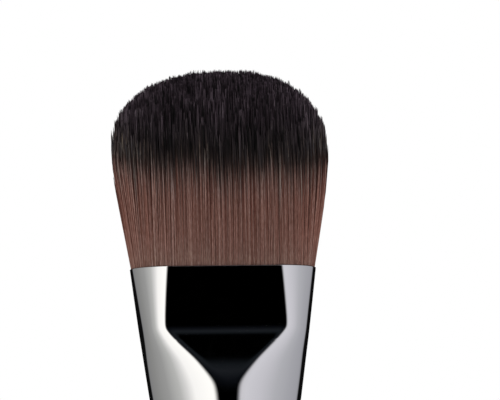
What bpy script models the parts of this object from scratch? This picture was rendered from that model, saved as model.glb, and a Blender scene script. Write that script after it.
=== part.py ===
# Foundation brush: a flat, dome-cut tuft of two-tone filaments in a pressed metal ferrule,
# on a turned wooden handle that stands on its flat end.
# Metres, +Z up. The origin is the centre of the handle's flat end, and the brush stands along +Z
# with its broad faces towards -Y and +Y. A depth is measured down from the ferrule's mouth.

import math
import random

import bmesh
import bpy
from mathutils import Vector

# Handle: turned wood, with a tenon that goes up into the ferrule
HANDLE_LENGTH = 0.092
BASE_DIAMETER = 0.0162
BASE_EDGE = 0.0014
WAIST_DIAMETER = 0.0130
BELLY_DIAMETER = 0.0184
SHOULDER_EDGE = 0.0005
TENON_LENGTH = 0.023
TENON_CHAMFER = 0.0012
WAIST_HEIGHT_SHARE = 0.40
BELLY_HEIGHT_SHARE = 0.90

# Ferrule: a seamless conical tube, round at the handle and pressed flat at the mouth
FERRULE_LENGTH = 0.050
FERRULE_WALL = 0.0004
MOUTH_WIDTH = 0.0299
MOUTH_THICKNESS = 0.0104
MOUTH_FLAT_WIDTH = 0.0170
PRESSED_BAND = 0.0100
CREASE_THICKNESS = 0.0109
CREASE_FLAT_WIDTH = 0.0191
FACET_LENGTH = 0.0089
FACET_END_THICKNESS = 0.0162
SOCKET_DIAMETER = 0.0178
SOCKET_LENGTH = 0.008
FLANK_BULGE = 0.0002

# Two rolled crimps that lock the socket on the tenon
CRIMP_COUNT = 2
CRIMP_FIRST = 0.0022
CRIMP_PITCH = 0.0028
CRIMP_WIDTH = 0.0015
CRIMP_DEPTH = 0.0003

# Tuft: the free hair, its dome cut, and the slice of resin-set roots that holds it
HAIR_LENGTH = 0.0325
TUFT_WIDTH = 0.0355
TUFT_THICKNESS = 0.0106
TIP_THICKNESS = 0.0096
WIDEST_HEIGHT = 0.0195
DARK_HEIGHT = 0.0152
STRAND_PITCH = 0.0009
STRAND_DIAMETER = 0.00082
TIP_TAPER = 0.0034
SLICE_DEPTH = 0.0006
SLICE_THICKNESS = 0.0020
STRAND_ROOT = 0.0005
STRAND_SWAY = 0.0001
TIP_RAGGEDNESS = 0.0005
COLOUR_RAGGEDNESS = 0.0014
FACE_CUT_DROP = 0.0140
DOME_POWER = 2.3
FACE_POWER = 2.0
STRAND_SWELL_SHARE = 1.16
HIGHEST_DARKENING_SHARE = 0.72

# Inside the ferrule: the compact butts of the hair, their binding, and the resin behind them
BUTT_DEPTH = 0.0125
BINDING_DEPTH = 0.0062
BINDING_WIDTH = 0.0030
BINDING_THICKNESS = 0.0007
BINDING_TURNS = 4
BINDING_RELIEF = 0.0003

# Clearances between neighbours
SEAT_GAP = 0.0003
TUFT_GAP = 0.0003

# Facets
QUARTER_STEPS = 11
TURN_STEPS = 44
BODY_STEPS = 10
EDGE_STEPS = 4
SHARP_ANGLE = math.radians(28)
MERGE_DISTANCE = 0.000001
SEED = 11

SHOULDER_Z = HANDLE_LENGTH
FERRULE_END_Z = SHOULDER_Z + SEAT_GAP
MOUTH_Z = FERRULE_END_Z + FERRULE_LENGTH
TAPER_LENGTH = FERRULE_LENGTH - SOCKET_LENGTH
FACET_END = PRESSED_BAND + FACET_LENGTH
TENON_TOP = FERRULE_LENGTH - TENON_LENGTH


def mix(start, end, share):
    """The value a share of the way from start to end."""
    return start + (end - start) * share


def ease(share):
    """A share that leaves 0 and reaches 1 gently."""
    share = min(max(share, 0.0), 1.0)
    return share * share * (3 - 2 * share)


def crimp_centres():
    """Depths of the rolled crimps, counted from the ferrule's lower end."""
    return [FERRULE_LENGTH - CRIMP_FIRST - CRIMP_PITCH * n for n in range(CRIMP_COUNT)]


def crimp_at(depth):
    """How far the wall is rolled in at this depth."""
    near = min(abs(depth - centre) for centre in crimp_centres())
    return CRIMP_DEPTH * max(0.0, 1 - near / (CRIMP_WIDTH / 2))


def shell_at(depth):
    """Outer half width, half thickness and half flat of the ferrule at a depth."""
    share = min(depth / TAPER_LENGTH, 1.0)
    width = mix(MOUTH_WIDTH, SOCKET_DIAMETER, share) / 2
    width += FLANK_BULGE * 4 * share * (1 - share)
    if depth <= PRESSED_BAND:
        share = depth / PRESSED_BAND
        thickness = mix(MOUTH_THICKNESS, CREASE_THICKNESS, share)
        flat = mix(MOUTH_FLAT_WIDTH, CREASE_FLAT_WIDTH, share)
    elif depth <= FACET_END:
        share = (depth - PRESSED_BAND) / FACET_LENGTH
        thickness = mix(CREASE_THICKNESS, FACET_END_THICKNESS, share)
        flat = mix(CREASE_FLAT_WIDTH, 0.0, share)
    else:
        share = ease((depth - FACET_END) / (TAPER_LENGTH - FACET_END))
        thickness = mix(FACET_END_THICKNESS, SOCKET_DIAMETER, share)
        flat = 0.0
    rolled = crimp_at(depth)
    return width - rolled, thickness / 2 - rolled, flat / 2


def ferrule_depths():
    """Depths where the ferrule's wall changes its slope, with a few between them."""
    band = [0.0, PRESSED_BAND / 2, PRESSED_BAND]
    facet = [mix(PRESSED_BAND, FACET_END, share) for share in (1 / 3, 2 / 3, 1)]
    taper = [mix(FACET_END, TAPER_LENGTH, share) for share in (1 / 4, 1 / 2, 3 / 4, 1)]
    half = CRIMP_WIDTH / 2
    crimps = [centre + side * half for centre in crimp_centres() for side in (-1, 0, 1)]
    return sorted(band + facet + taper + crimps + [FERRULE_LENGTH])


def inner_depths(top, low):
    """The ends of an inner piece, and the ferrule's own depths between them, so that it fits the wall."""
    return [top] + [depth for depth in ferrule_depths() if top < depth < low] + [low]


def oval_ring(depth, inset):
    """Points round the ferrule's section at a depth, moved in by inset, counterclockwise from above.

    Each quarter is the flat's half, then an elliptic arc. Where the flat fades out, its end point
    slides along the arc, so that every ring has the same points.
    """
    half_width, half_thickness, half_flat = shell_at(depth)
    half_width -= inset
    half_thickness -= inset
    pressed = min(half_flat / (MOUTH_FLAT_WIDTH / 2), 1.0)
    quarter = [(0.0, half_thickness)]
    for step in range(1, QUARTER_STEPS + 1):
        turn_share = mix(step / QUARTER_STEPS, (step - 1) / (QUARTER_STEPS - 1), pressed)
        turn = turn_share * math.pi / 2
        x = half_flat + (half_width - half_flat) * math.sin(turn)
        quarter.append((x, half_thickness * math.cos(turn)))
    quarter[-1] = (half_width, 0.0)
    back_left = [(-x, y) for x, y in quarter[:-1]]
    front_left = [(-x, -y) for x, y in reversed(quarter[1:])]
    front_right = [(x, -y) for x, y in quarter[:-1]]
    back_right = [(x, y) for x, y in reversed(quarter[1:])]
    z = MOUTH_Z - depth
    ring = back_left + front_left + front_right + back_right
    return [Vector((x, y, z)) for x, y in ring]


def skin(bm, rings, closed=False):
    """Joins rings of equal length, and caps the ends unless the rings close on themselves."""
    loops = [[bm.verts.new(point) for point in ring] for ring in rings]
    pairs = list(zip(loops, loops[1:]))
    if closed:
        pairs.append((loops[-1], loops[0]))
    else:
        bm.faces.new(loops[0])
        bm.faces.new(loops[-1])
    for first, second in pairs:
        first_next = first[1:] + first[:1]
        second_next = second[1:] + second[:1]
        for corners in zip(first, first_next, second_next, second):
            bm.faces.new(corners)
    bmesh.ops.recalc_face_normals(bm, faces=bm.faces)


def finish(bm, name, materials, smooth=True):
    """Turns a bmesh into a named object with its materials."""
    mesh = bpy.data.meshes.new(name)
    bm.to_mesh(mesh)
    bm.free()
    if smooth:
        mesh.shade_smooth()
        mesh.set_sharp_from_angle(angle=SHARP_ANGLE)
    for material in materials:
        mesh.materials.append(material)
    made = bpy.data.objects.new(name, mesh)
    bpy.context.scene.collection.objects.link(made)
    return made


def oval_solid(name, stations, material):
    """A closed solid that follows the inside of the ferrule. Each station is a depth and an inset."""
    bm = bmesh.new()
    skin(bm, [oval_ring(depth, inset) for depth, inset in stations])
    return finish(bm, name, [material])


def make_material(name, colour, roughness, metallic=0.0, coat=0.0):
    """A Principled material. The colour is linear."""
    material = bpy.data.materials.new(name)
    material.use_nodes = True
    shader = material.node_tree.nodes["Principled BSDF"]
    shader.inputs["Base Color"].default_value = (*colour, 1.0)
    shader.inputs["Roughness"].default_value = roughness
    shader.inputs["Metallic"].default_value = metallic
    shader.inputs["Coat Weight"].default_value = coat
    return material


def tenon_radius(depth):
    """The round tenon keeps the seat gap to the narrowest part of the ferrule's inside."""
    half_width, half_thickness, _ = shell_at(depth)
    return min(half_width, half_thickness) - FERRULE_WALL - SEAT_GAP


def body_radius(share):
    """Radius of the handle's turned body, from its base at 0 to its shoulder at 1."""
    turned = [
        (0.0, BASE_DIAMETER / 2),
        (WAIST_HEIGHT_SHARE, WAIST_DIAMETER / 2),
        (BELLY_HEIGHT_SHARE, BELLY_DIAMETER / 2),
        (1.0, SOCKET_DIAMETER / 2),
    ]
    for (low, low_radius), (high, high_radius) in zip(turned, turned[1:]):
        if share <= high:
            return mix(low_radius, high_radius, ease((share - low) / (high - low)))
    return turned[-1][1]


def base_edge():
    """The rounded edge between the handle's flat end and its side, as points of a half profile."""
    corner = BASE_DIAMETER / 2 - BASE_EDGE
    points = []
    for step in range(EDGE_STEPS + 1):
        turn = step / EDGE_STEPS * math.pi / 2
        points.append((corner + BASE_EDGE * math.sin(turn), BASE_EDGE * (1 - math.cos(turn))))
    return points


def make_handle(material):
    """Half profile from the flat end up to the tenon's end, spun about Z."""
    profile = [(0.0, 0.0)] + base_edge()
    turned_length = SHOULDER_Z - BASE_EDGE - SHOULDER_EDGE
    for step in range(1, BODY_STEPS + 1):
        share = step / BODY_STEPS
        profile.append((body_radius(share), BASE_EDGE + turned_length * share))
    chamfer_depth = TENON_TOP + TENON_CHAMFER
    profile.append((SOCKET_DIAMETER / 2 - SHOULDER_EDGE, SHOULDER_Z))
    profile.append((tenon_radius(FERRULE_LENGTH), SHOULDER_Z))
    for depth in reversed(inner_depths(chamfer_depth, FERRULE_LENGTH)):
        profile.append((tenon_radius(depth), MOUTH_Z - depth))
    profile.append((tenon_radius(chamfer_depth) - TENON_CHAMFER, MOUTH_Z - TENON_TOP))
    profile.append((0.0, MOUTH_Z - TENON_TOP))
    bm = bmesh.new()
    points = [bm.verts.new((radius, 0.0, z)) for radius, z in profile]
    edges = [bm.edges.new(pair) for pair in zip(points, points[1:])]
    bmesh.ops.spin(
        bm,
        geom=points + edges,
        cent=(0.0, 0.0, 0.0),
        axis=(0.0, 0.0, 1.0),
        angle=math.tau,
        steps=TURN_STEPS,
        use_merge=True,
    )
    bmesh.ops.remove_doubles(bm, verts=bm.verts, dist=MERGE_DISTANCE)
    bmesh.ops.recalc_face_normals(bm, faces=bm.faces)
    return finish(bm, "handle", [material])


def make_ferrule(material):
    """One wall that runs down the outside and back up the inside."""
    depths = ferrule_depths()
    rings = [oval_ring(depth, 0.0) for depth in depths]
    rings += [oval_ring(depth, FERRULE_WALL) for depth in reversed(depths)]
    bm = bmesh.new()
    skin(bm, rings, closed=True)
    return finish(bm, "ferrule", [material])


def hair_butts_stations():
    """The compact butts, from under the slice to their cut ends, with a waist for the binding."""
    plain = FERRULE_WALL + TUFT_GAP
    waist = plain + BINDING_RELIEF + BINDING_THICKNESS + SEAT_GAP
    waist_top = BINDING_DEPTH - SEAT_GAP
    waist_low = BINDING_DEPTH + BINDING_WIDTH + SEAT_GAP
    above = inner_depths(SLICE_DEPTH + SLICE_THICKNESS + SEAT_GAP, waist_top)
    below = inner_depths(waist_low, BUTT_DEPTH)
    stations = [(depth, plain) for depth in above]
    stations += [(waist_top, waist), (waist_low, waist)]
    return stations + [(depth, plain) for depth in below]


def make_binding(material):
    """Thread wound round the butts' waist. Its turns show as ridges on the outside."""
    outer = FERRULE_WALL + TUFT_GAP + BINDING_RELIEF
    valley = outer + BINDING_THICKNESS / 3
    inner = outer + BINDING_THICKNESS
    turn = BINDING_WIDTH / BINDING_TURNS
    stations = [(BINDING_DEPTH, valley)]
    for n in range(BINDING_TURNS):
        stations.append((BINDING_DEPTH + turn * (n + 1 / 2), outer))
        stations.append((BINDING_DEPTH + turn * (n + 1), valley))
    stations += [(BINDING_DEPTH + BINDING_WIDTH, inner), (BINDING_DEPTH, inner)]
    bm = bmesh.new()
    skin(bm, [oval_ring(depth, inset) for depth, inset in stations], closed=True)
    return finish(bm, "binding_thread", [material])


def make_resin_plug(material):
    """Resin poured behind the butts, from their cut ends down to the tenon."""
    inset = FERRULE_WALL + SEAT_GAP
    depths = inner_depths(BUTT_DEPTH + SEAT_GAP, TENON_TOP - SEAT_GAP)
    return oval_solid("resin_plug", [(depth, inset) for depth in depths], material)


def root_sizes():
    """Half width, half thickness and half flat of the slice, inside the mouth."""
    half_width, half_thickness, half_flat = shell_at(SLICE_DEPTH)
    inset = FERRULE_WALL + TUFT_GAP
    return half_width - inset, half_thickness - inset, half_flat


def strand_roots():
    """Centres of the strands on the slice, in rows that run the width of the tuft."""
    half_width, half_thickness, half_flat = root_sizes()
    margin = STRAND_DIAMETER / 2
    row_step = STRAND_PITCH * math.sqrt(3) / 2
    rows = int((half_thickness - margin) / row_step)
    found = []
    for row in range(-rows, rows + 1):
        y = row * row_step
        rounding = math.sqrt(1 - (y / (half_thickness - margin)) ** 2)
        row_end = half_flat + (half_width - margin - half_flat) * rounding
        count = int(2 * row_end / STRAND_PITCH) + 1
        found += [(row_end * (2 * n / (count - 1) - 1), y) for n in range(count)]
    return found


def fan_at(height):
    """How far the strands have fanned out in width and in thickness, at a height over the mouth."""
    half_width, half_thickness, _ = root_sizes()
    margin = STRAND_DIAMETER / 2
    rise = min(height / WIDEST_HEIGHT, 1.0)
    rise = mix(rise, math.sin(rise * math.pi / 2), 1 / 3)
    closing = max(height - WIDEST_HEIGHT, 0.0) / (HAIR_LENGTH - WIDEST_HEIGHT)
    thickness = mix(TUFT_THICKNESS, TIP_THICKNESS, closing)
    wide = mix(1.0, (TUFT_WIDTH / 2 - margin) / (half_width - margin), rise)
    thick = mix(1.0, (thickness / 2 - margin) / (half_thickness - margin), rise)
    return wide, thick


def tip_height(x, y):
    """Height of the dome cut over a root: the front view's arch, rounded over towards both faces."""
    half_width, half_thickness, half_flat = root_sizes()
    across = min(abs(x) / half_width, 1.0)
    arch = (1 - across**DOME_POWER) ** (1 / DOME_POWER)
    outline = mix(WIDEST_HEIGHT, HAIR_LENGTH - TIP_RAGGEDNESS, arch)
    past_flat = max(abs(x) - half_flat, 0.0) / (half_width - half_flat)
    section = half_thickness * math.sqrt(1 - past_flat**2)
    through = min(abs(y) / section, 1.0)
    face = (1 - through**FACE_POWER) ** (1 / FACE_POWER)
    return outline - FACE_CUT_DROP * (1 - face) * (outline / HAIR_LENGTH) ** 2


def strand_path(root, chance):
    """Centre and radius of each of a strand's rings, from inside the slice to its tip."""
    x, y = root
    tip = tip_height(x, y) + TIP_RAGGEDNESS * chance.uniform(-1, 1)
    darkening = DARK_HEIGHT + COLOUR_RAGGEDNESS * chance.uniform(-1, 1)
    darkening = min(darkening, tip * HIGHEST_DARKENING_SHARE)
    taper_start = max(tip - TIP_TAPER, mix(darkening, tip, 1 / 2))
    sway = STRAND_SWAY * chance.uniform(-1, 1)
    radius = STRAND_DIAMETER / 2
    swollen = radius * STRAND_SWELL_SHARE
    path = [(Vector((x, y, MOUTH_Z - SLICE_DEPTH - STRAND_ROOT)), radius)]
    for height, ring_radius in ((darkening, swollen), (taper_start, swollen), (tip, 0.0)):
        wide, thick = fan_at(height)
        swayed = x * wide + sway * height / HAIR_LENGTH
        path.append((Vector((swayed, y * thick, MOUTH_Z + height)), ring_radius))
    return path


def extrude_strands(bm, faces, layer, paths, level, tone):
    """Extrudes each strand's end face to its next ring. The new sides take the tone."""
    for face in faces:
        face.material_index = tone
    ends = bmesh.ops.extrude_discrete_faces(bm, faces=faces)["faces"]
    for end in ends:
        old_centre = end.calc_center_median()
        centre, radius = paths[end[layer]][level]
        for vert in end.verts:
            vert.co = centre + (vert.co - old_centre).normalized() * radius
    return ends


def make_strands(materials):
    """Three-sided strands, each extruded in steps from its root and drawn to a point."""
    chance = random.Random(SEED)
    paths = [strand_path(root, chance) for root in strand_roots()]
    bm = bmesh.new()
    layer = bm.faces.layers.int.new("strand")
    roots = []
    for strand, path in enumerate(paths):
        centre, radius = path[0]
        turns = [n * math.tau / 3 for n in range(3)]
        corners = [Vector((radius * math.sin(turn), -radius * math.cos(turn), 0.0)) for turn in turns]
        root = bm.faces.new([bm.verts.new(centre + corner) for corner in corners])
        root[layer] = strand
        roots.append(root)
    middles = extrude_strands(bm, roots, layer, paths, 1, 0)
    shoulders = extrude_strands(bm, middles, layer, paths, 2, 1)
    strand_of = [face[layer] for face in shoulders]
    tips = bmesh.ops.poke(bm, faces=shoulders)["verts"]
    for strand, tip in zip(strand_of, tips):
        tip.co = paths[strand][3][0]
    bmesh.ops.holes_fill(bm, edges=bm.edges, sides=3)
    bmesh.ops.recalc_face_normals(bm, faces=bm.faces)
    strands = finish(bm, "strands", materials, smooth=False)
    strands.hide_render = True
    strands.display_type = "WIRE"
    return strands


def make_bristles(base_tone, tip_tone):
    """The strands, fused to one slice of set roots."""
    inset = FERRULE_WALL + TUFT_GAP
    slice_ends = (SLICE_DEPTH, SLICE_DEPTH + SLICE_THICKNESS)
    bristles = oval_solid("bristles", [(depth, inset) for depth in slice_ends], base_tone)
    bristles.data.materials.append(tip_tone)
    fuse = bristles.modifiers.new("fuse_strands", "BOOLEAN")
    fuse.operation = "UNION"
    fuse.solver = "EXACT"
    fuse.object = make_strands([base_tone, tip_tone])
    return bristles


def main():
    for old in list(bpy.data.objects):
        bpy.data.objects.remove(old)
    lacquer = make_material("black_lacquer", (0.006, 0.006, 0.007), 0.18, coat=0.6)
    plated = make_material("polished_plate", (0.78, 0.78, 0.79), 0.08, metallic=1.0)
    hair_brown = make_material("hair_brown", (0.120, 0.060, 0.046), 0.50)
    hair_black = make_material("hair_black", (0.012, 0.009, 0.011), 0.45)
    resin = make_material("resin", (0.30, 0.20, 0.09), 0.30)
    thread = make_material("thread", (0.55, 0.50, 0.42), 0.80)
    make_handle(lacquer)
    make_ferrule(plated)
    make_bristles(hair_brown, hair_black)
    oval_solid("hair_butts", hair_butts_stations(), hair_brown)
    make_binding(thread)
    make_resin_plug(resin)


main()
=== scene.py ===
import math
import random

import bmesh
import bpy
import numpy as np
from mathutils import Matrix, Vector


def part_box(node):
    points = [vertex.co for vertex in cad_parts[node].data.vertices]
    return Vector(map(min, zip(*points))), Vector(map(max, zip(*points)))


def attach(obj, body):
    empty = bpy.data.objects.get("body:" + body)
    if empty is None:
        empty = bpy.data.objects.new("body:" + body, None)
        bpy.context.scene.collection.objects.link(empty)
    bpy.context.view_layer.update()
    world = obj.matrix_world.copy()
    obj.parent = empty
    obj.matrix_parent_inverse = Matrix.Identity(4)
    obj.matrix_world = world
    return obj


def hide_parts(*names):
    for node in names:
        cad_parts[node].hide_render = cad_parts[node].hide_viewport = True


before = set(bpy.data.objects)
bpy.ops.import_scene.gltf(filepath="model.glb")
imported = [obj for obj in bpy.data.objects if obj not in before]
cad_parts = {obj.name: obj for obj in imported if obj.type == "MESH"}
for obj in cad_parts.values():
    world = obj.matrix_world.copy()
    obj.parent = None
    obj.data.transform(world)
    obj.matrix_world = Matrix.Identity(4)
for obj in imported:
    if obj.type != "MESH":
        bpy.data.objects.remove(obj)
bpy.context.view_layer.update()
print("frame loaded:", ", ".join(sorted(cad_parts)))

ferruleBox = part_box("ferrule")
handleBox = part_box("handle")
mouthZ = ferruleBox[1].z  # rim of the ferrule, where the free hair starts
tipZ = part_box("bristles")[1].z
mergeDistance = 0.000001


def mix(start, end, share):
    return start + (end - start) * share


def ease(share):
    share = min(max(share, 0.0), 1.0)
    return share * share * (3 - 2 * share)


def softRamp(distance, radius):  # 0 before a corner, the distance after it, rounded over the radius
    return (distance + math.sqrt(distance * distance + radius * radius)) / 2


def mergeDoubles(bm):
    bmesh.ops.remove_doubles(bm, verts=bm.verts, dist=mergeDistance)


def spinOutline(bm, outline, steps):  # turns points of radius and height round the brush's axis
    points = [bm.verts.new((radius, 0.0, z)) for radius, z in outline]
    edges = [bm.edges.new(pair) for pair in zip(points, points[1:])]
    bmesh.ops.spin(
        bm, geom=points + edges, cent=(0, 0, 0), axis=(0, 0, 1), angle=math.tau, steps=steps, use_merge=True
    )
    mergeDoubles(bm)


def addObject(bm, name, material):
    mesh = bpy.data.meshes.new(name)
    bm.to_mesh(mesh)
    bm.free()
    mesh.materials.append(material)
    made = bpy.data.objects.new(name, mesh)
    bpy.context.scene.collection.objects.link(made)
    return made


def addPiece(bm, name, material, replaces):
    piece = addObject(bm, name, material)
    piece.data.shade_smooth()
    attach(piece, "root")
    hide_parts(*replaces)
    print("made", name, len(piece.data.polygons), "faces")
    return piece


# Materials

noiseRange = (0.3, 0.7)  # most values of a noise lie between these
wholeRange = (0.0, 1.0)


def startMaterial(name):
    material = bpy.data.materials.new(name)
    material.use_nodes = True
    tree = material.node_tree
    return material, tree, tree.nodes["Principled BSDF"]


def addNoise(tree, vector, scale, detail):
    noise = tree.nodes.new("ShaderNodeTexNoise")
    noise.inputs["Scale"].default_value = scale
    noise.inputs["Detail"].default_value = detail
    tree.links.new(vector, noise.inputs["Vector"])
    return noise.outputs["Fac"]


def noiseOf(tree, scale, stretch=(1, 1, 1), detail=3):  # noise on the piece's own coordinates
    place = tree.nodes.new("ShaderNodeTexCoord")
    mapping = tree.nodes.new("ShaderNodeMapping")
    mapping.inputs["Scale"].default_value = stretch
    tree.links.new(place.outputs["Object"], mapping.inputs["Vector"])
    return addNoise(tree, mapping.outputs["Vector"], scale, detail)


def spread(tree, value, results, source=noiseRange):  # maps the source's range to that of the results
    scaled = tree.nodes.new("ShaderNodeMapRange")
    for name, number in zip(("From Min", "From Max", "To Min", "To Max"), (*source, *results)):
        scaled.inputs[name].default_value = number
    tree.links.new(value, scaled.inputs["Value"])
    return scaled.outputs["Result"]


def addBump(tree, shader, height, strength, distance):
    bump = tree.nodes.new("ShaderNodeBump")
    bump.inputs["Strength"].default_value = strength
    bump.inputs["Distance"].default_value = distance
    tree.links.new(height, bump.inputs["Height"])
    tree.links.new(bump.outputs["Normal"], shader.inputs["Normal"])


def addRamp(tree, value, stops):
    ramp = tree.nodes.new("ShaderNodeValToRGB")
    while len(ramp.color_ramp.elements) < len(stops):
        ramp.color_ramp.elements.new(1.0)
    for element, (place, colour) in zip(ramp.color_ramp.elements, stops):
        element.position = place
        element.color = (*colour, 1.0)
    tree.links.new(value, ramp.inputs["Fac"])
    return ramp.outputs["Color"]


def addTwoTones(tree, noise, colours):
    return addRamp(tree, noise, list(zip(noiseRange, colours)))


def makePolishedPlate():
    look = {
        "colour": (0.80, 0.80, 0.81),
        "roughness": (0.02, 0.05),
        "wearScale": 900.0,
        "lineScale": 2600.0,
        "lineStretch": (1.0, 1.0, 0.02),  # polishing lines run along the tube
        "lineStrength": 0.02,
        "lineDepth": 0.00002,
    }
    material, tree, shader = startMaterial("polishedPlate")
    shader.inputs["Metallic"].default_value = 1.0
    shader.inputs["Base Color"].default_value = (*look["colour"], 1.0)
    wear = noiseOf(tree, look["wearScale"])
    tree.links.new(spread(tree, wear, look["roughness"]), shader.inputs["Roughness"])
    lines = noiseOf(tree, look["lineScale"], look["lineStretch"])
    addBump(tree, shader, lines, look["lineStrength"], look["lineDepth"])
    return material


def makeLacquer():
    look = {
        "colours": ((0.0045, 0.0045, 0.005), (0.008, 0.008, 0.009)),
        "roughness": (0.16, 0.24),
        "coat": 0.7,
        "coatRoughness": 0.05,
        "grainScale": 240.0,
        "grainStretch": (1.0, 1.0, 0.06),  # the wood's grain shows faintly through the lacquer
        "grainDetail": 5,
        "peelScale": 650.0,
        "peelDetail": 1,
        "peelStrength": 0.05,
        "peelDepth": 0.00005,
    }
    material, tree, shader = startMaterial("blackLacquer")
    grain = noiseOf(tree, look["grainScale"], look["grainStretch"], look["grainDetail"])
    tree.links.new(addTwoTones(tree, grain, look["colours"]), shader.inputs["Base Color"])
    tree.links.new(spread(tree, grain, look["roughness"]), shader.inputs["Roughness"])
    shader.inputs["Coat Weight"].default_value = look["coat"]
    shader.inputs["Coat Roughness"].default_value = look["coatRoughness"]
    peel = noiseOf(tree, look["peelScale"], detail=look["peelDetail"])
    addBump(tree, shader, peel, look["peelStrength"], look["peelDepth"])
    return material


def addMath(tree, operation, first, second=0):
    node = tree.nodes.new("ShaderNodeMath")
    node.operation = operation
    for socket, value in zip(node.inputs, (first, second)):
        if isinstance(value, (int, float)):
            socket.default_value = value
        else:
            tree.links.new(value, socket)
    return node.outputs["Value"]


def addChances(tree, number):  # three random values for a number
    noise = tree.nodes.new("ShaderNodeTexWhiteNoise")
    noise.noise_dimensions = "1D"
    tree.links.new(number, noise.inputs["W"])
    split = tree.nodes.new("ShaderNodeSeparateColor")
    tree.links.new(noise.outputs["Color"], split.inputs["Color"])
    return split.outputs


def addMix(tree, factor, first, second):
    node = tree.nodes.new("ShaderNodeMix")
    node.data_type = "RGBA"
    tree.links.new(factor, node.inputs["Factor"])
    for name, value in (("A", first), ("B", second)):
        if isinstance(value, tuple):
            node.inputs[name].default_value = (*value, 1.0)
        else:
            tree.links.new(value, node.inputs[name])
    return node.outputs["Result"]


def readStrand(tree):  # what paintHeights wrote: height over the rim, strand, stripe and clump
    uv = tree.nodes.new("ShaderNodeUVMap")
    uv.uv_map = "OFBake"
    split = tree.nodes.new("ShaderNodeSeparateXYZ")
    tree.links.new(uv.outputs["UV"], split.inputs["Vector"])
    stripes, picks = tuftShape["stripeTones"], tuftShape["picks"]
    column = addMath(tree, "MULTIPLY", split.outputs["X"], tuftShape["clumpTones"] * stripes)
    column = addMath(tree, "FLOOR", column)
    clump = addMath(tree, "FLOOR", addMath(tree, "DIVIDE", column, stripes))
    stripe = addMath(tree, "SUBTRACT", column, addMath(tree, "MULTIPLY", clump, stripes))
    band = addMath(tree, "MULTIPLY", split.outputs["Y"], picks)
    height = addMath(tree, "FRACT", band)
    strand = addMath(tree, "ADD", addMath(tree, "MULTIPLY", column, picks), addMath(tree, "FLOOR", band))
    return height, strand, stripe, clump


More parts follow.
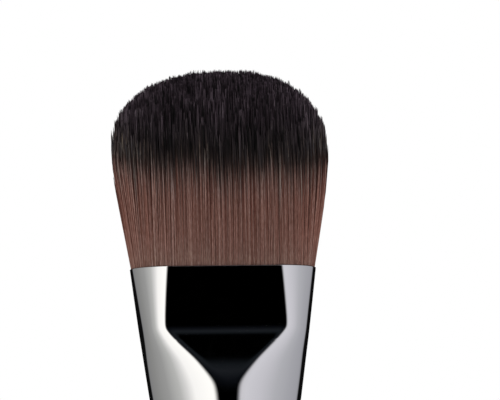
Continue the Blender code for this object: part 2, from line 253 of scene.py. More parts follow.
def makeFilament():
    look = {
        "stops": [  # colour up the free hair, by share of its length; the paler first stops at the roots are painted light over the shade just above the rim
            (0.00, (0.200, 0.117, 0.093)),
            (0.03, (0.170, 0.095, 0.076)),
            (0.12, (0.152, 0.075, 0.0595)),
            (0.33, (0.135, 0.0655, 0.052)),
            (0.424, (0.095, 0.055, 0.047)),
            (0.500, (0.0252, 0.0157, 0.0132)),
            (0.575, (0.0085, 0.0057, 0.0059)),
            (0.64, (0.0079, 0.0054, 0.0064)),
            (0.75, (0.0132, 0.0086, 0.0115)),
            (1.00, (0.017, 0.011, 0.0155)),
        ],
        "strandShift": (-0.055, 0.055),  # how far the change of colour wanders from strand to strand
        "clumpShift": (-0.020, 0.020),
        "clumpStart": 5000.5,  # keeps the clumps' random values apart from those of the strands
        "wander": (-0.030, 0.030),  # the same for the whole tuft, in waves across it
        "wanderScale": 250.0,
        "wanderStretch": (1.0, 0.3, 0.0),
        "wanderDetail": 1,
        "strandRanges": ((0.87, 1.13), (0.74, 1.26), (0.00, 2.10)),  # at the roots, in the brown, in the dark
        "stripeRanges": ((0.90, 1.06), (0.46, 1.26), (0.85, 1.15)),
        # the clumps' tones also carry painted light and shade at the tuft's sides: paler in the dark, darker
        # at the roots and in the brown
        "clumpRanges": ((1.09, 0.80), (1.08, 0.80), (0.10, 3.50)),
        "brownFrom": (0.05, 0.40),  # heights between which the roots' ranges give way to those of the brown
        "darkFrom": (0.50, 0.60),
        "sheen": (0.78, 1.22),  # painted sheen: how much the tone wanders along a filament
        "sheenWaves": 36,
        "sheenStep": 3.7,  # from a strand to the next one in the noise, so that they differ
        "sheenDetail": 1.0,
        "greenPower": (1.45, 1.10),  # paler brown filaments are greyer, darker ones redder
        "bluePower": (1.60, 1.03),
        "reddish": (0.135, 0.050, 0.034),
        "reddishFrom": 0.5,  # strands with a random value above this are reddish below the fade
        "reddishFade": (0.40, 0.50),
        "reddishShare": 0.3,
        "grey": (0.145, 0.118, 0.104),
        "greyFrom": 0.985,
        "greyBand": [(0.21, (0, 0, 0)), (0.43, (1, 1, 1)), (0.60, (0, 0, 0))],
        "roughness": 0.45,
        "specular": 0.2,
    }
    material, tree, shader = startMaterial("filament")
    height, strand, stripe, clump = readStrand(tree)
    ofStrand = addChances(tree, strand)
    ofClump = addChances(tree, addMath(tree, "ADD", clump, look["clumpStart"]))

    # colour by height, which changes a little higher or lower on each strand
    strandShift = spread(tree, ofStrand["Red"], look["strandShift"], wholeRange)
    clumpShift = spread(tree, ofClump["Red"], look["clumpShift"], wholeRange)
    waves = noiseOf(tree, look["wanderScale"], look["wanderStretch"], look["wanderDetail"])
    shift = addMath(tree, "ADD", strandShift, clumpShift)
    shift = addMath(tree, "ADD", shift, spread(tree, waves, look["wander"]))
    colour = addRamp(tree, addMath(tree, "ADD", height, shift), look["stops"])
    inBrown = spread(tree, height, (look["reddishShare"], 0.0), look["reddishFade"])
    isRed = addMath(tree, "GREATER_THAN", ofStrand["Blue"], look["reddishFrom"])
    colour = addMix(tree, addMath(tree, "MULTIPLY", isRed, inBrown), colour, look["reddish"])

    # tone by strand, stripe and clump, with a painted sheen along each strand
    along = tree.nodes.new("ShaderNodeCombineXYZ")
    tree.links.new(addMath(tree, "MULTIPLY", strand, look["sheenStep"]), along.inputs["X"])
    tree.links.new(addMath(tree, "MULTIPLY", height, look["sheenWaves"]), along.inputs["Y"])
    tone = spread(tree, addNoise(tree, along.outputs["Vector"], 1.0, look["sheenDetail"]), look["sheen"])
    offRoot = spread(tree, height, wholeRange, look["brownFrom"])
    inDark = spread(tree, height, wholeRange, look["darkFrom"])
    for value, last, ranges in (
        (ofStrand["Green"], 1, look["strandRanges"]),
        (stripe, tuftShape["stripeTones"] - 1, look["stripeRanges"]),
        (clump, tuftShape["clumpTones"] - 1, look["clumpRanges"]),
    ):
        root, brown, dark = (spread(tree, value, tones, (0.0, last)) for tones in ranges)
        zoned = addMix(tree, inDark, addMix(tree, offRoot, root, brown), dark)
        tone = addMath(tree, "MULTIPLY", zoned, tone)
    tint = tree.nodes.new("ShaderNodeCombineColor")
    tree.links.new(tone, tint.inputs["Red"])
    for channel, powers in (("Green", look["greenPower"]), ("Blue", look["bluePower"])):
        power = spread(tree, inDark, powers, wholeRange)
        tree.links.new(addMath(tree, "POWER", tone, power), tint.inputs[channel])
    toned = tree.nodes.new("ShaderNodeVectorMath")
    toned.operation = "MULTIPLY"
    tree.links.new(colour, toned.inputs[0])
    tree.links.new(tint.outputs["Color"], toned.inputs[1])

    # a few strands stay grey where the others turn dark
    isGrey = addMath(tree, "GREATER_THAN", ofStrand["Blue"], look["greyFrom"])
    greyShare = addMath(tree, "MULTIPLY", isGrey, addRamp(tree, height, look["greyBand"]))
    final = addMix(tree, greyShare, toned.outputs["Vector"], look["grey"])
    tree.links.new(final, shader.inputs["Base Color"])
    shader.inputs["Roughness"].default_value = look["roughness"]
    shader.inputs["Specular IOR Level"].default_value = look["specular"]
    return material


hiddenLooks = {  # by node: butts, thread and resin, which only an open ferrule would show
    "hair_butts": {
        "name": "hairButts",
        "colours": ((0.10, 0.05, 0.04), (0.16, 0.08, 0.06)),
        "roughness": 0.55,
        "scale": 900.0,
        "stretch": (1, 1, 0.05),
    },
    "binding_thread": {
        "name": "bindingThread",
        "colours": ((0.45, 0.41, 0.34), (0.60, 0.55, 0.46)),
        "roughness": 0.8,
        "scale": 1500.0,
        "stretch": (1, 1, 1),
    },
    "resin_plug": {
        "name": "amberResin",
        "colours": ((0.26, 0.17, 0.07), (0.34, 0.23, 0.11)),
        "roughness": 0.3,
        "scale": 300.0,
        "stretch": (1, 1, 1),
    },
}


def makeHidden(look):
    material, tree, shader = startMaterial(look["name"])
    spots = noiseOf(tree, look["scale"], look["stretch"])
    tree.links.new(addTwoTones(tree, spots, look["colours"]), shader.inputs["Base Color"])
    shader.inputs["Roughness"].default_value = look["roughness"]
    return material


# Ferrule: round at the handle, pressed flat at the mouth

ferruleShape = {
    "mouthWidth": 0.0299,
    "mouthThickness": 0.0104,
    "mouthFlat": 0.0170,
    "bandDepth": 0.0100,
    "creaseThickness": 0.0109,
    "creaseFlat": 0.0183,
    "plainPower": 2.0,  # an ellipse
    "creasePower": 2.42,  # the rounded edges are a little squarer at the crease
    "powerFade": 0.0055,  # length below the crease over which they turn plain again
    "creaseSoftness": 0.0006,
    "facetLength": 0.0089,
    "facetEndThickness": 0.0162,
    "facetEndSoftness": 0.0022,
    "socketDiameter": 0.0178,
    "socketLength": 0.008,
    "flankBulge": 0.0002,
    "wall": 0.0004,
    "lip": 0.00006,
    "lipArc": ((0.0, 1.0), (0.13, 0.5), (0.5, 0.13), (1.0, 0.0)),  # shares of the lip, down and inwards
    "crimps": (0.0022, 0.0050),  # heights over the lower end
    "crimpWidth": 0.0017,
    "crimpDepth": 0.00032,
    "aroundQuarter": 64,
    "ringStep": 0.0004,
    "fineStep": 0.0001,
    "fineReach": 3,  # fine rings run this far round the crease, in times its softness
    "innerEvery": 6,  # the inside has one ring for so many outside
}
ferruleLength = ferruleBox[1].z - ferruleBox[0].z


def shellAt(depth):  # half width, half thickness and half flat of the outside
    shape = ferruleShape
    taper = ferruleLength - shape["socketLength"]
    share = min(depth / taper, 1.0)
    width = mix(shape["mouthWidth"], shape["socketDiameter"], share) / 2
    width += shape["flankBulge"] * 4 * share * (1 - share)
    band, facet = shape["bandDepth"], shape["facetLength"]
    bandSlope = (shape["creaseThickness"] - shape["mouthThickness"]) / band
    facetSlope = (shape["facetEndThickness"] - shape["creaseThickness"]) / facet
    endSlope = (shape["socketDiameter"] - shape["facetEndThickness"]) / (taper - band - facet)
    thickness = shape["mouthThickness"] + bandSlope * depth
    thickness += (facetSlope - bandSlope) * softRamp(depth - band, shape["creaseSoftness"])
    thickness += (endSlope - facetSlope) * softRamp(depth - band - facet, shape["facetEndSoftness"])
    thickness = min(thickness, shape["socketDiameter"])
    flatSlope = (shape["creaseFlat"] - shape["mouthFlat"]) / band
    fadeSlope = -shape["creaseFlat"] / facet
    flat = shape["mouthFlat"] + flatSlope * depth
    flat += (fadeSlope - flatSlope) * softRamp(depth - band, shape["creaseSoftness"])
    flat = softRamp(flat, shape["facetEndSoftness"]) if flat > -shape["mouthFlat"] else 0.0
    near = min(abs(ferruleLength - depth - height) for height in shape["crimps"])
    rolled = shape["crimpDepth"] * ease(1 - near / (shape["crimpWidth"] / 2))
    return width - rolled, thickness / 2 - rolled, flat / 2


def sectionPower(depth):  # of the section's rounded edges
    shape = ferruleShape
    past = depth - shape["bandDepth"]
    share = 1 + past / shape["bandDepth"] if past < 0 else ease(1 - past / shape["powerFade"])
    return mix(shape["plainPower"], shape["creasePower"], share)


def sectionPoint(depth, inset, place):  # place counts round the section, from the middle of the back
    quarter = ferruleShape["aroundQuarter"]
    halfWidth, halfThickness, halfFlat = shellAt(depth)
    side, step = divmod(place, quarter)
    if side % 2:
        step = quarter - step
    across, through = halfWidth - inset - halfFlat, halfThickness - inset
    arcLength = (across + through) * math.pi / 4
    reach = step / quarter * (halfFlat + arcLength)  # even steps along the flat and then the rounded edge
    turn = max(reach - halfFlat, 0.0) / arcLength * math.pi / 2
    power = 2 / sectionPower(depth)
    x = min(reach, halfFlat) + across * math.sin(turn) ** power
    y = through * max(math.cos(turn), 0.0) ** power
    return Vector((-x if side in (0, 1) else x, -y if side in (1, 2) else y, mouthZ - depth))


def loftSection(bm, stations):  # a circle of edges, extruded from station to station
    bmesh.ops.create_circle(bm, cap_ends=False, segments=ferruleShape["aroundQuarter"] * 4, radius=1.0)
    placeOf = bm.verts.layers.int.new("place")
    bm.verts.ensure_lookup_table()
    for place, vert in enumerate(bm.verts):
        vert[placeOf] = place
        vert.co = sectionPoint(*stations[0], place)
    edges = list(bm.edges)
    for station in stations[1:]:
        made = bmesh.ops.extrude_edge_only(bm, edges=edges)["geom"]
        verts = {item for item in made if isinstance(item, bmesh.types.BMVert)}
        edges = [item for item in made if isinstance(item, bmesh.types.BMEdge) and set(item.verts) <= verts]
        for vert in verts:
            vert.co = sectionPoint(*station, vert[placeOf])


def makeFerrule(material):
    shape = ferruleShape
    lip, wall = shape["lip"], shape["wall"]
    depths = [lip + shape["fineStep"]]
    while depths[-1] < ferruleLength - lip - shape["ringStep"]:
        nearCrease = abs(depths[-1] - shape["bandDepth"]) < shape["creaseSoftness"] * shape["fineReach"]
        depths.append(depths[-1] + (shape["fineStep"] if nearCrease else shape["ringStep"]))
    innerDepths = [ferruleLength - lip] + depths[::-shape["innerEvery"]] + [lip]

    # stations of depth and inset, out over the lip, down the outside and up the inside
    stations = [(lip * down, lip * inward) for down, inward in shape["lipArc"]]
    stations += [(depth, 0.0) for depth in depths]
    stations += [(ferruleLength - lip, 0.0), (ferruleLength, lip), (ferruleLength, wall - lip)]
    stations += [(depth, wall) for depth in innerDepths]
    stations += [(lip * inward, wall - lip * down) for down, inward in shape["lipArc"][1:]]
    bm = bmesh.new()
    loftSection(bm, stations + stations[:1])
    mergeDoubles(bm)
    bmesh.ops.recalc_face_normals(bm, faces=bm.faces)
    addPiece(bm, "ferruleTube", material, ["ferrule"])


# Handle: turned wood under black lacquer, standing on its flat end

handleShape = {
    "baseDiameter": 0.0162,
    "baseEdge": 0.0014,
    "waistDiameter": 0.0130,
    "bellyDiameter": 0.018398,
    "waistShare": 0.40,
    "bellyShare": 0.90,
    "shoulderEdge": 0.0005,
    "seatGap": 0.0003,
    "tenonDiameter": 0.0154,
    "tenonChamfer": 0.0012,
    "around": 96,
    "up": 60,
    "edgeSteps": 8,
    "shoulderSteps": 4,
    "sharpAngle": 40,
}


def bodyRadius(share):  # by share of the turned length, from the base to the shoulder
    shape = handleShape
    turned = [
        (0.0, shape["baseDiameter"] / 2),
        (shape["waistShare"], shape["waistDiameter"] / 2),
        (shape["bellyShare"], shape["bellyDiameter"] / 2),
        (1.0, ferruleShape["socketDiameter"] / 2),
    ]
    for (low, lowRadius), (high, highRadius) in zip(turned, turned[1:]):
        if share <= high:
            break
    return mix(lowRadius, highRadius, ease((share - low) / (high - low)))


def arc(corner, z, radius, start, end, steps):  # points of a rounded edge, from angle to angle
    turns = [math.radians(mix(start, end, n / steps)) for n in range(steps + 1)]
    return [(corner + radius * math.cos(turn), z + radius * math.sin(turn)) for turn in turns]


def makeHandle(material):
    shape = handleShape
    shoulderZ = ferruleBox[0].z - shape["seatGap"]
    edge, shoulder = shape["baseEdge"], shape["shoulderEdge"]
    outline = [(0.0, 0.0)] + arc(shape["baseDiameter"] / 2 - edge, edge, edge, -90, 0, shape["edgeSteps"])
    turnedLength = shoulderZ - edge - shoulder
    for step in range(1, shape["up"]):
        share = step / shape["up"]
        outline.append((bodyRadius(share), edge + turnedLength * share))
    socket = ferruleShape["socketDiameter"] / 2
    outline += arc(socket - shoulder, shoulderZ - shoulder, shoulder, 0, 90, shape["shoulderSteps"])
    tenon, chamfer, top = shape["tenonDiameter"] / 2, shape["tenonChamfer"], handleBox[1].z
    outline += [(tenon, shoulderZ), (tenon, top - chamfer), (tenon - chamfer, top), (0.0, top)]
    bm = bmesh.new()
    spinOutline(bm, outline, shape["around"])
    bmesh.ops.recalc_face_normals(bm, faces=bm.faces)
    piece = addPiece(bm, "turnedHandle", material, ["handle"])
    piece.data.set_sharp_from_angle(angle=math.radians(shape["sharpAngle"]))


# Tuft: tapered filaments with a dome cut, in a few pieces

tuftShape = {
    "pieces": 6,
    "strandsPerPiece": 3000,
    "hairLength": 0.0322,
    "rimInset": 0.00015,  # how far inside the ferrule's outline the hair leaves the rim
    "fanSlope": 0.172,
    "fanEven": 0.05,  # the share of the fan that grows evenly from the middle; the rest is at the sides
    "fanPower": 9,
    "fanExtra": 1.5,  # more filaments where they spread, so that the fan stays closed
    "bendHeight": 0.0158,  # the sides stop widening round this height
    "bendSoftness": 0.0025,
    "thickness": 0.0106,
    "tipThickness": 0.0096,
    "widestHeight": 0.0193,
    "rimSwell": 0.00012,  # height over which the hair swells out past the ferrule's wall
    "lean": -0.00021,
    "leanHeights": (0.011, 0.025),
    "rootDepth": 0.0026,
    "rootJitter": 0.45,  # how far a root stands off its row, in pitches
    "rootClearance": 0.00008,
    "faceCutDrop": 0.014,
    "domePower": 2.30,
    "facePower": 2.0,
    "cutTilt": 0.034,  # the crown of the cut is a little right of the middle
    "tiltFade": 12,
    "cutSteps": 400,  # steps of the table of cut heights
    "cutRounds": 16,  # halvings to find each of them
    "strandRadius": 0.000072,
    "strandSides": 3,
    "bodyRings": (0.35, 0.7, 1.0),  # shares of the length between the rim and the taper
    "taper": 0.0026,
    "taperRings": (0.45, 0.12, 0.0),  # shares of the taper, from the tip
    "tipPower": 0.4,
    "clumpPitch": 0.00029,
    "clumpPull": 0.75,  # how far filaments lean to their clump at the tip
    "pullPower": 2.2,
    "clumpSway": 0.00010,
    "strandSway": 0.00011,
    "sideFray": 0.00005,  # how far single filaments stand out of the cut sides
    "fanSwell": 0.4,  # filaments at the sides are this much thicker
    "tipJitter": 0.00036,
    "faceJitter": 0.0016,  # tips on the cut faces end at more uneven heights
    "jitterPower": 4,
    "liftRange": (-1, 0.3),  # of the jitter, mostly down
    "spike": 0.00045,  # a few clumps stand out of the cut by up to this
    "spikeRange": (0.3, 1),
    "spikeShare": 0.12,
    "tipsTogether": 0.8,  # how much a clump's tips share its cut
    "strandJitter": 0.00012,  # how far strands end below their clump's tip
    "topGap": 0.00003,  # to the top of the solid tuft
    "clumpTones": 12,  # tones from dark to pale, picked by chance, by turns and by how far out the clump is, the last being painted light and shade at the sides
    "freeTones": 4,
    "alternateTones": 3,
    "paintedSideTones": 7,  # painted side light and shade: the tuft's sides are paler in the dark, as a painted sheen, and a little darker at the roots and in the brown, as painted shade against the side lamps; they also turn dark a little higher
    "edgeDelay": 0.067,
    "edgePower": 7,
    "stripeTones": 8,
    "darkStripes": 2,  # tones of the thin lines between the pale stripes; partly the filaments' own tones, partly painted shade in the gaps and painted highlights on the stripes
    "paleStripes": 3,
    "stripeGaps": (2, 2, 3, 4),
    "stripePitch": 0.00018,
    "stripeHeight": 0.011,
    "toneRoom": (0.2, 0.8),  # where a strand's corners lie in the column of its tone
    "picks": 8,  # bands of the UV map, which tell strands of one tone apart
    "pickStep": 3,
    "bandRoom": (0.004, 0.996),  # keeps heights clear of the next band
    "seed": 5,
}


def mouthRoom():  # half width, half thickness and half flat that the roots fill
    halfWidth, halfThickness, halfFlat = shellAt(0.0)
    gap = ferruleShape["wall"] + tuftShape["rootClearance"] + tuftShape["strandRadius"]
    return halfWidth - gap, halfThickness - gap, halfFlat


def isInside(x, y, room):
    halfWidth, halfThickness, halfFlat = room
    past = max(abs(x) - halfFlat, 0.0) / (halfWidth - halfFlat)
    return past * past + (y / halfThickness) ** 2 <= 1.0


def scatter(pitch, room, chance):  # staggered rows over the mouth, each point moved a little
    halfWidth, halfThickness, _ = room
    rowStep = pitch * math.sqrt(3) / 2
    rows, columns = int(halfThickness / rowStep) + 1, int(halfWidth / pitch) + 1
    reach = tuftShape["rootJitter"]
    points = []
    for row in range(-rows, rows + 1):
        for column in range(-columns, columns + 1):
            x = (column + row % 2 / 2 + chance.uniform(-reach, reach)) * pitch
            y = row * rowStep + chance.uniform(-reach, reach) * pitch
            if isInside(x, y, room):
                points.append((x, y))
    return points


def spreadAt(height):  # how far the outermost filaments have run outwards from the rim
    shape = tuftShape
    rise = max(height, 0.0)
    return shape["fanSlope"] * (rise - softRamp(rise - shape["bendHeight"], shape["bendSoftness"]))


def outlineAt(height):  # half width of the cut outline
    shape = tuftShape
    edge = ferruleShape["mouthWidth"] / 2 - shape["rimInset"]
    edge += spreadAt(min(height, shape["widestHeight"]))
    if height <= shape["widestHeight"]:
        return edge
    rise = min((height - shape["widestHeight"]) / (shape["hairLength"] - shape["widestHeight"]), 1.0)
    return edge * (1 - rise ** shape["domePower"]) ** (1 / shape["domePower"])


def fanShare(across):  # of the fan's spread, for a filament this far out at the rim
    shape = tuftShape
    return shape["fanEven"] * across + (1 - shape["fanEven"]) * across ** shape["fanPower"]


def cutHeight(across):  # where a filament this far out at the rim meets the cut outline
    shape = tuftShape
    edge = ferruleShape["mouthWidth"] / 2 - shape["rimInset"]
    low, high = shape["widestHeight"], shape["hairLength"]
    for _ in range(shape["cutRounds"]):
        middle = (low + high) / 2
        if across * edge + fanShare(across) * spreadAt(middle) > outlineAt(middle):
            high = middle
        else:
            low = middle
    return low


cutHeights = [cutHeight(n / tuftShape["cutSteps"]) for n in range(tuftShape["cutSteps"] + 1)]


def thicknessAt(height):  # half thickness of the tuft
    shape = tuftShape
    rise = max(height, 0.0)
    closing = max(rise - shape["widestHeight"], 0.0) / (shape["hairLength"] - shape["widestHeight"])
    full = mix(shape["thickness"], shape["tipThickness"], closing) / 2
    start = ferruleShape["mouthThickness"] / 2 - shape["rimInset"] / 2
    return mix(start, full, ease(rise / shape["widestHeight"]))


def placeAt(height, x, y, room):  # where a filament rooted at x, y stands at this height
    shape = tuftShape
    halfWidth, halfThickness, _ = room
    swell = ease(height / shape["rimSwell"])
    across = min(abs(x) / halfWidth, 1.0)
    edge = ferruleShape["mouthWidth"] / 2 - shape["rimInset"] - shape["strandRadius"]
    wide = across * mix(halfWidth, edge, swell) + fanShare(across) * spreadAt(height)
    thick = mix(halfThickness, thicknessAt(height) - shape["strandRadius"], swell)
    return math.copysign(wide, x), y / halfThickness * thick


def tipHeight(x, y, room):  # the dome cut and how near the point is to the tuft's middle plane
    shape = tuftShape
    halfWidth, halfThickness, halfFlat = room
    outline = cutHeights[round(min(abs(x) / halfWidth, 1.0) * shape["cutSteps"])]
    outline += shape["cutTilt"] * x * (outline / shape["hairLength"]) ** shape["tiltFade"]
    past = min(max(abs(x) - halfFlat, 0.0) / (halfWidth - halfFlat), 1.0)
    section = max(halfThickness * math.sqrt(1 - past * past), shape["strandRadius"])
    through = min(abs(y) / section, 1.0)
    face = (1 - through ** shape["facePower"]) ** (1 / shape["facePower"])
    return outline - shape["faceCutDrop"] * (1 - face) * (outline / shape["hairLength"]) ** 2, face


def edgeShare(x, room):  # almost 0 in the middle, rising to 1 at the tuft's sides
    return (abs(x) / room[0]) ** tuftShape["edgePower"]


def scatterFanned(pitch, room, chance):  # with more points at the sides, where the fan spreads
    shape = tuftShape
    points = scatter(pitch, room, chance)
    for x, y in scatter(pitch / math.sqrt(shape["fanExtra"]), room, chance):
        if chance.random() < (abs(x) / room[0]) ** shape["fanPower"]:
            points.append((x, y))
    return points


def makeClumps(room, chance):
    shape = tuftShape
    clumps, grid = [], {}
    cell = shape["clumpPitch"]
    for x, y in scatterFanned(cell, room, chance):
        _, face = tipHeight(x, y, room)
        jitter = mix(shape["faceJitter"], shape["tipJitter"], face ** shape["jitterPower"])
        spreadX, _ = placeAt(shape["widestHeight"], x, y, room)
        turn = math.floor(spreadX / cell) % 2 * shape["alternateTones"]  # pale and dark clumps alternate
        # painted light and shade on the tuft's sides, as a shift of the clump's tone
        paler = edgeShare(x, room) * shape["paintedSideTones"]
        isSpike = chance.random() < shape["spikeShare"]
        spike = chance.uniform(*shape["spikeRange"]) if isSpike else 0.0
        grid.setdefault((math.floor(x / cell), math.floor(y / cell)), []).append(len(clumps))
        clumps.append({
            "x": x,
            "y": y,
            "lift": chance.uniform(*shape["liftRange"]) * jitter + spike * shape["spike"],
            "swayX": chance.gauss(0, shape["clumpSway"]),
            "swayY": chance.gauss(0, shape["clumpSway"] / 2),
            "pick": chance.randrange(shape["picks"]),
            "tone": min(int(chance.uniform(0, shape["freeTones"]) + turn + paler), shape["clumpTones"] - 1),
        })
    return clumps, grid


def nearestClump(x, y, clumps, grid):
    cell = tuftShape["clumpPitch"]
    column, row = math.floor(x / cell), math.floor(y / cell)
    reach = range(-2, 3)
    near = [n for i in reach for j in reach for n in grid.get((column + i, row + j), ())]
    nearest = min(near, key=lambda n: (clumps[n]["x"] - x) ** 2 + (clumps[n]["y"] - y) ** 2)
    return clumps[nearest]


def ringHeights(tip):  # over the rim, from the root to the tip
    shape = tuftShape
    neck, start = shape["rimSwell"], tip - shape["taper"]
    heights = [-shape["rootDepth"], 0.0, neck / 2, neck]
    heights += [mix(neck, start, share) for share in shape["bodyRings"]]
    return heights + [tip - shape["taper"] * share for share in shape["taperRings"]]


def strandRings(x, y, clump, room, chance):  # centre and radius of each ring, the tip last
    shape = tuftShape
    tip, _ = tipHeight(x, mix(y, clump["y"], shape["tipsTogether"]), room)
    tip += clump["lift"] - abs(chance.gauss(0, shape["strandJitter"]))
    tip = min(tip, tipZ - mouthZ - shape["topGap"])
    swayX = clump["swayX"] + chance.gauss(0, shape["strandSway"])
    swayY = clump["swayY"] + chance.gauss(0, shape["strandSway"] / 2)
    bow = chance.uniform(-1, 1) * shape["strandSway"]
    fray = abs(chance.gauss(0, shape["sideFray"])) - shape["strandRadius"]
    thicker = 1 + shape["fanSwell"] * (abs(x) / room[0]) ** shape["fanPower"]
    low, high = shape["leanHeights"]
    rings = []
    for height in ringHeights(tip):
        rise = max(height, 0.0) / tip
        pull = shape["clumpPull"] * rise ** shape["pullPower"]
        centreX, centreY = placeAt(height, mix(x, clump["x"], pull), mix(y, clump["y"], pull), room)
        centreX += swayX * rise * rise + bow * math.sin(rise * math.pi)
        edge = outlineAt(min(height, shape["widestHeight"])) + fray
        limit = mix(room[0], edge, ease(height / shape["rimSwell"]))
        centreX = max(-limit, min(limit, centreX)) + shape["lean"] * ease((height - low) / (high - low))
        left = max((tip - height) / shape["taper"], 0.0)
        radius = shape["strandRadius"] * min(left ** shape["tipPower"], 1.0)
        radius *= mix(1.0, thicker, min(rise * 2, 1.0))  # the sides are thicker from half their height
        rings.append((Vector((centreX, centreY + swayY * rise * rise, mouthZ + height)), radius))
    return rings


def makeTuftPiece(name, strands, material):
    sides = tuftShape["strandSides"]
    tones = tuftShape["clumpTones"] * tuftShape["stripeTones"]
    bm = bmesh.new()
    bmesh.ops.create_circle(bm, cap_ends=True, segments=sides, radius=1.0)
    while len(bm.faces) < len(strands):
        bmesh.ops.duplicate(bm, geom=list(bm.faces)[:len(strands) - len(bm.faces)])
    strandOf = bm.faces.layers.int.new("strand")
    acrossOf = bm.verts.layers.float.new("across")
    delayOf = bm.verts.layers.float.new("delay")
    pickOf = bm.verts.layers.float.new("pick")
    faces = list(bm.faces)
    for strand, (face, (rings, tone, pick, delay)) in enumerate(zip(faces, strands)):
        face[strandOf] = strand
        centre, radius = rings[0]
        for corner, vert in enumerate(face.verts):
            vert.co = centre + vert.co.normalized() * radius
            vert[acrossOf] = (tone + mix(*tuftShape["toneRoom"], corner / (sides - 1))) / tones
            vert[delayOf] = delay
            vert[pickOf] = pick
    for level in range(1, len(strands[0][0]) - 1):
        faces = bmesh.ops.extrude_discrete_faces(bm, faces=faces)["faces"]
        for face in faces:
            middle = face.calc_center_median()
            centre, radius = strands[face[strandOf]][0][level]
            for vert in face.verts:
                vert.co = centre + (vert.co - middle).normalized() * radius
    owners = [(face[strandOf], face.verts[1]) for face in faces]
    tips = bmesh.ops.poke(bm, faces=faces)["verts"]
    for tip, (strand, vert) in zip(tips, owners):
        tip.co = strands[strand][0][-1][0]
        for layer in (acrossOf, delayOf, pickOf):
            tip[layer] = vert[layer]
    bmesh.ops.holes_fill(bm, edges=bm.edges, sides=sides)
    bmesh.ops.recalc_face_normals(bm, faces=bm.faces)
    piece = addPiece(bm, name, material, ["bristles"])
    paintHeights(piece.data)


def takeLayer(mesh, name):
    layer = mesh.attributes[name]
    values = np.empty(len(mesh.vertices), dtype=np.float32)
    layer.data.foreach_get("value", values)
    mesh.attributes.remove(layer)
    return values


# UV: across is the strand's tone, up is the height over the rim, in a band of its pick
def paintHeights(mesh):
    shape = tuftShape
    corners = np.empty(len(mesh.loops), dtype=np.int32)
    mesh.loops.foreach_get("vertex_index", corners)
    places = np.empty(len(mesh.vertices) * 3, dtype=np.float32)
    mesh.vertices.foreach_get("co", places)
    heights = (places[2::3] - mouthZ) / shape["hairLength"] - takeLayer(mesh, "delay")
    heights = (takeLayer(mesh, "pick") + np.clip(heights, *shape["bandRoom"])) / shape["picks"]
    uv = np.column_stack((takeLayer(mesh, "across"), heights))
    mesh.uv_layers.new(name="OFBake").data.foreach_set("uv", uv[corners].astype(np.float32).ravel())


def makeStripes(chance):  # tones from side to side: runs of pale stripes with a thin dark one before each, partly the filaments' own tones and partly painted highlights and painted shade in the gaps
    shape = tuftShape
    count = math.ceil(outlineAt(shape["widestHeight"]) * 2 / shape["stripePitch"]) + 1
    stripes = []
    while len(stripes) < count:
        for gap in chance.sample(shape["stripeGaps"], len(shape["stripeGaps"])):
            stripes.append(chance.randrange(shape["darkStripes"]))
            stripes += [shape["stripeTones"] - 1 - chance.randrange(shape["paleStripes"]) for _ in range(gap)]
    return stripes


def makeTuft(material):
    shape = tuftShape
    chance = random.Random(shape["seed"])
    room = mouthRoom()
    clumps, grid = makeClumps(room, chance)
    halfWidth, halfThickness, halfFlat = room
    area = 4 * halfFlat * halfThickness + math.pi * (halfWidth - halfFlat) * halfThickness
    wanted = shape["pieces"] * shape["strandsPerPiece"]
    points = scatterFanned(math.sqrt(area / wanted / (math.sqrt(3) / 2)), room, chance)
    chance.shuffle(points)
    stripes = makeStripes(chance)
    strands = []
    for x, y in points:
        clump = nearestClump(x, y, clumps, grid)
        clump["pick"] = (clump["pick"] + shape["pickStep"]) % shape["picks"]
        spreadX, _ = placeAt(shape["stripeHeight"], x, y, room)
        stripe = stripes[round((spreadX + outlineAt(shape["widestHeight"])) / shape["stripePitch"])]
        tone = clump["tone"] * shape["stripeTones"] + stripe
        delay = shape["edgeDelay"] * edgeShare(x, room)
        strands.append((strandRings(x, y, clump, room, chance), tone, clump["pick"], delay))
    share = math.ceil(len(strands) / shape["pieces"])
    for n in range(shape["pieces"]):
        makeTuftPiece(f"tuftHair_{n + 1}", strands[n * share:(n + 1) * share], material)
    print("tuft has", len(strands), "strands in", len(clumps), "clumps")


# Camera: the photograph's view, from a little below and to the left

cameraView = {
    "azimuth": -5.0,
    "elevation": -6.5,
    "roll": 1.15,
    "distance": 0.9,
    "metresPerPixel": 0.0001603,
    "sensorWidth": 36.0,
    "clip": (0.01, 20.0),
    "imageSize": (500, 400),
    "mouthPixel": (222.95, 268.8),  # where the middle of the ferrule's mouth lies in the photograph
}


def addCamera():
    view = cameraView
    camera = bpy.data.objects.new("camera", bpy.data.cameras.new("camera"))
    bpy.context.scene.collection.objects.link(camera)
    bpy.context.scene.camera = camera
    around, pitch, roll = (math.radians(view[name]) for name in ("azimuth", "elevation", "roll"))
    away = Vector((math.sin(around) * math.cos(pitch), -math.cos(around) * math.cos(pitch), math.sin(pitch)))
    levelRight = Vector((math.cos(around), math.sin(around), 0))
    levelUp = away.cross(levelRight)
    right = levelRight * math.cos(roll) - levelUp * math.sin(roll)
    up = levelUp * math.cos(roll) + levelRight * math.sin(roll)
    wide, tall = view["imageSize"]
    mouthX, mouthY = view["mouthPixel"]
    offset = right * (wide / 2 - mouthX) + up * (mouthY - tall / 2)
    target = Vector((0, 0, mouthZ)) + offset * view["metresPerPixel"]
    turned = Matrix((right, up, away)).transposed().to_4x4()
    camera.matrix_world = Matrix.Translation(target + away * view["distance"]) @ turned
    camera.data.sensor_width = view["sensorWidth"]
    camera.data.lens = view["sensorWidth"] * view["distance"] / (wide * view["metresPerPixel"])
    camera.data.clip_start, camera.data.clip_end = view["clip"]
    lens, height = round(camera.data.lens, 1), round(camera.matrix_world.translation.z, 3)
    print("camera lens", lens, "mm at height", height)


# Studio: pale floor, white surroundings, a sweep that only reflections see, and soft lamps

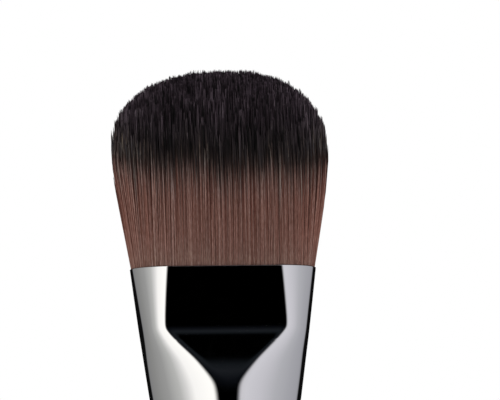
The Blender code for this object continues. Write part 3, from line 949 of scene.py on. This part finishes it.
studio = {
    "ambient": 0.55,
    "floorColour": (0.86, 0.86, 0.86),
    "floorRoughness": 0.7,
    "floorSpecular": 0.1,
    "floorSides": 128,
    "floorReach": 0.5,
    "sweepRadius": 1.0,
    "sweepHeight": 1.0,
    "sweepFoot": 0.001,
    "sweepHole": 0.0085,
    "sweepShade": (0.018, 0.04),  # the sweep is dark round the foot of the handle
    "sweepTop": 1.5,
    "sweepDome": ((0.85, 0.6), (0.5, 1.0), (0.0, 1.0)),  # shares of the radius and of the rise to the top
    "sweepSides": 180,
    "sweep": [  # colour by direction round the brush from the camera's side, minus is to its left
        (-180, (0.004, 0.004, 0.004)),
        (-129, (0.004, 0.004, 0.004)),
        (-124, (0.25, 0.25, 0.25)),
        (-97, (0.30, 0.30, 0.29)),
        (-68, (0.38, 0.38, 0.37)),
        (-46, (0.57, 0.57, 0.55)),
        (-36, (0.82, 0.81, 0.79)),
        (-26, (1.16, 1.14, 1.10)),
        (-5.3, (1.28, 1.26, 1.20)),
        (-1.3, (0.0, 0.0, 0.0)),
        (17, (0.0, 0.0, 0.0)),
        (21, (0.70, 0.69, 0.72)),
        (26, (0.73, 0.72, 0.76)),
        (42, (0.66, 0.65, 0.69)),
        (64, (0.52, 0.52, 0.55)),
        (88, (0.45, 0.45, 0.48)),
        (118, (0.40, 0.40, 0.43)),
        (124, (0.32, 0.32, 0.34)),
        (129, (0.004, 0.004, 0.004)),
        (180, (0.004, 0.004, 0.004)),
    ],
    "strip": [  # a dim bluish strip overhead that the pressed crease picks up, by height
        (0.38, (0.0, 0.0, 0.0)),
        (0.62, (0.005, 0.006, 0.008)),
        (0.77, (0.012, 0.014, 0.017)),
        (0.82, (0.008, 0.010, 0.012)),
        (0.855, (0.0, 0.0, 0.0)),
    ],
    "lamps": [  # name, place, size, power
        ("keyLamp", (-0.7, -0.9, 0.9), 0.7, 9.0),
        ("fillLamp", (0.9, -0.8, 0.6), 0.8, 5.0),
        ("topLamp", (0.0, 0.1, 1.2), 0.8, 6.0),
        ("leftEdgeLamp", (-1.0, 0.25, 0.3), 0.5, 7.0),
        ("rightEdgeLamp", (1.0, 0.25, 0.3), 0.5, 9.0),
    ],
}


def addWorld():  # the camera and reflections see full white, all other rays a dimmer one
    world = bpy.data.worlds.new("studioWhite")
    bpy.context.scene.world = world
    world.use_nodes = True
    tree = world.node_tree
    ambient = tree.nodes["Background"]
    shown = tree.nodes.new("ShaderNodeBackground")
    for background, strength in ((ambient, studio["ambient"]), (shown, 1.0)):
        background.inputs["Color"].default_value = (1, 1, 1, 1)
        background.inputs["Strength"].default_value = strength
    join = tree.nodes.new("ShaderNodeMixShader")
    tree.links.new(seenDirectly(tree), join.inputs["Fac"])
    tree.links.new(ambient.outputs["Background"], join.inputs[1])
    tree.links.new(shown.outputs["Background"], join.inputs[2])
    tree.links.new(join.outputs["Shader"], tree.nodes["World Output"].inputs["Surface"])


def seenDirectly(tree):  # 1 for camera, glossy and transmission rays
    path = tree.nodes.new("ShaderNodeLightPath").outputs
    either = addMath(tree, "MAXIMUM", path["Is Camera Ray"], path["Is Glossy Ray"])
    return addMath(tree, "MAXIMUM", either, path["Is Transmission Ray"])


def addFloor():
    material, _, shader = startMaterial("paleFloor")
    shader.inputs["Base Color"].default_value = (*studio["floorColour"], 1.0)
    shader.inputs["Roughness"].default_value = studio["floorRoughness"]
    shader.inputs["Specular IOR Level"].default_value = studio["floorSpecular"]
    bm = bmesh.new()
    bmesh.ops.create_circle(bm, cap_ends=True, segments=studio["floorSides"], radius=studio["floorReach"])
    floor = addObject(bm, "floor", material)


def makeSweepGlow():
    material, tree, shader = startMaterial("studioSweep")
    tree.nodes.remove(shader)
    place = tree.nodes.new("ShaderNodeTexCoord")
    split = tree.nodes.new("ShaderNodeSeparateXYZ")
    tree.links.new(place.outputs["Object"], split.inputs["Vector"])
    ahead = addMath(tree, "MULTIPLY", split.outputs["Y"], -1.0)
    around = addMath(tree, "ARCTAN2", split.outputs["X"], ahead)
    stops = []
    for degrees, colour in studio["sweep"]:
        share = (degrees + cameraView["azimuth"] + 180) / 360
        stops.append((min(max(share, 0), 1), colour))
    total = tree.nodes.new("ShaderNodeMix")
    total.data_type = "RGBA"
    total.blend_type = "ADD"
    total.inputs["Factor"].default_value = 1.0
    turnShare = spread(tree, around, wholeRange, (-math.pi, math.pi))
    tree.links.new(addRamp(tree, turnShare, stops), total.inputs["A"])
    tree.links.new(addRamp(tree, split.outputs["Z"], studio["strip"]), total.inputs["B"])
    squares = [addMath(tree, "MULTIPLY", split.outputs[axis], split.outputs[axis]) for axis in "XY"]
    shadeRange = [reach * reach for reach in studio["sweepShade"]]
    shade = spread(tree, addMath(tree, "ADD", *squares), wholeRange, shadeRange)
    glow = tree.nodes.new("ShaderNodeEmission")
    tree.links.new(total.outputs["Result"], glow.inputs["Color"])
    tree.links.new(shade, glow.inputs["Strength"])
    tree.links.new(glow.outputs["Emission"], tree.nodes["Material Output"].inputs["Surface"])
    material.cycles.emission_sampling = "NONE"
    return material


def addSweep():  # a dome of cards and soft boxes that only reflections see
    radius, foot = studio["sweepRadius"], studio["sweepFoot"]
    height, top = studio["sweepHeight"], studio["sweepTop"]
    outline = [(studio["sweepHole"], foot), (radius, foot), (radius, height)]
    outline += [(radius * inward, mix(height, top, up)) for inward, up in studio["sweepDome"]]
    bm = bmesh.new()
    spinOutline(bm, outline, studio["sweepSides"])
    sweep = addObject(bm, "studioSweep", makeSweepGlow())
    sweep.visible_camera = False
    sweep.visible_diffuse = False
    sweep.visible_transmission = False
    sweep.visible_shadow = False


def addLamps():
    middle = Vector((0, 0, mouthZ))
    for name, place, size, power in studio["lamps"]:
        lamp = bpy.data.lights.new(name, "AREA")
        lamp.shape = "DISK"
        lamp.size = size
        lamp.energy = power
        holder = bpy.data.objects.new(name, lamp)
        bpy.context.scene.collection.objects.link(holder)
        holder.location = place
        holder.rotation_euler = (middle - Vector(place)).to_track_quat("-Z", "Y").to_euler()
        holder.visible_glossy = False


polishedPlate = makePolishedPlate()
blackLacquer = makeLacquer()
filament = makeFilament()
makeFerrule(polishedPlate)
makeHandle(blackLacquer)
makeTuft(filament)
for node, look in hiddenLooks.items():
    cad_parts[node].material_slots[0].material = makeHidden(look)
print("materials set on", ", ".join(hiddenLooks))

addCamera()
addWorld()
addFloor()
addSweep()
addLamps()
bpy.context.scene.view_settings.view_transform = "Standard"
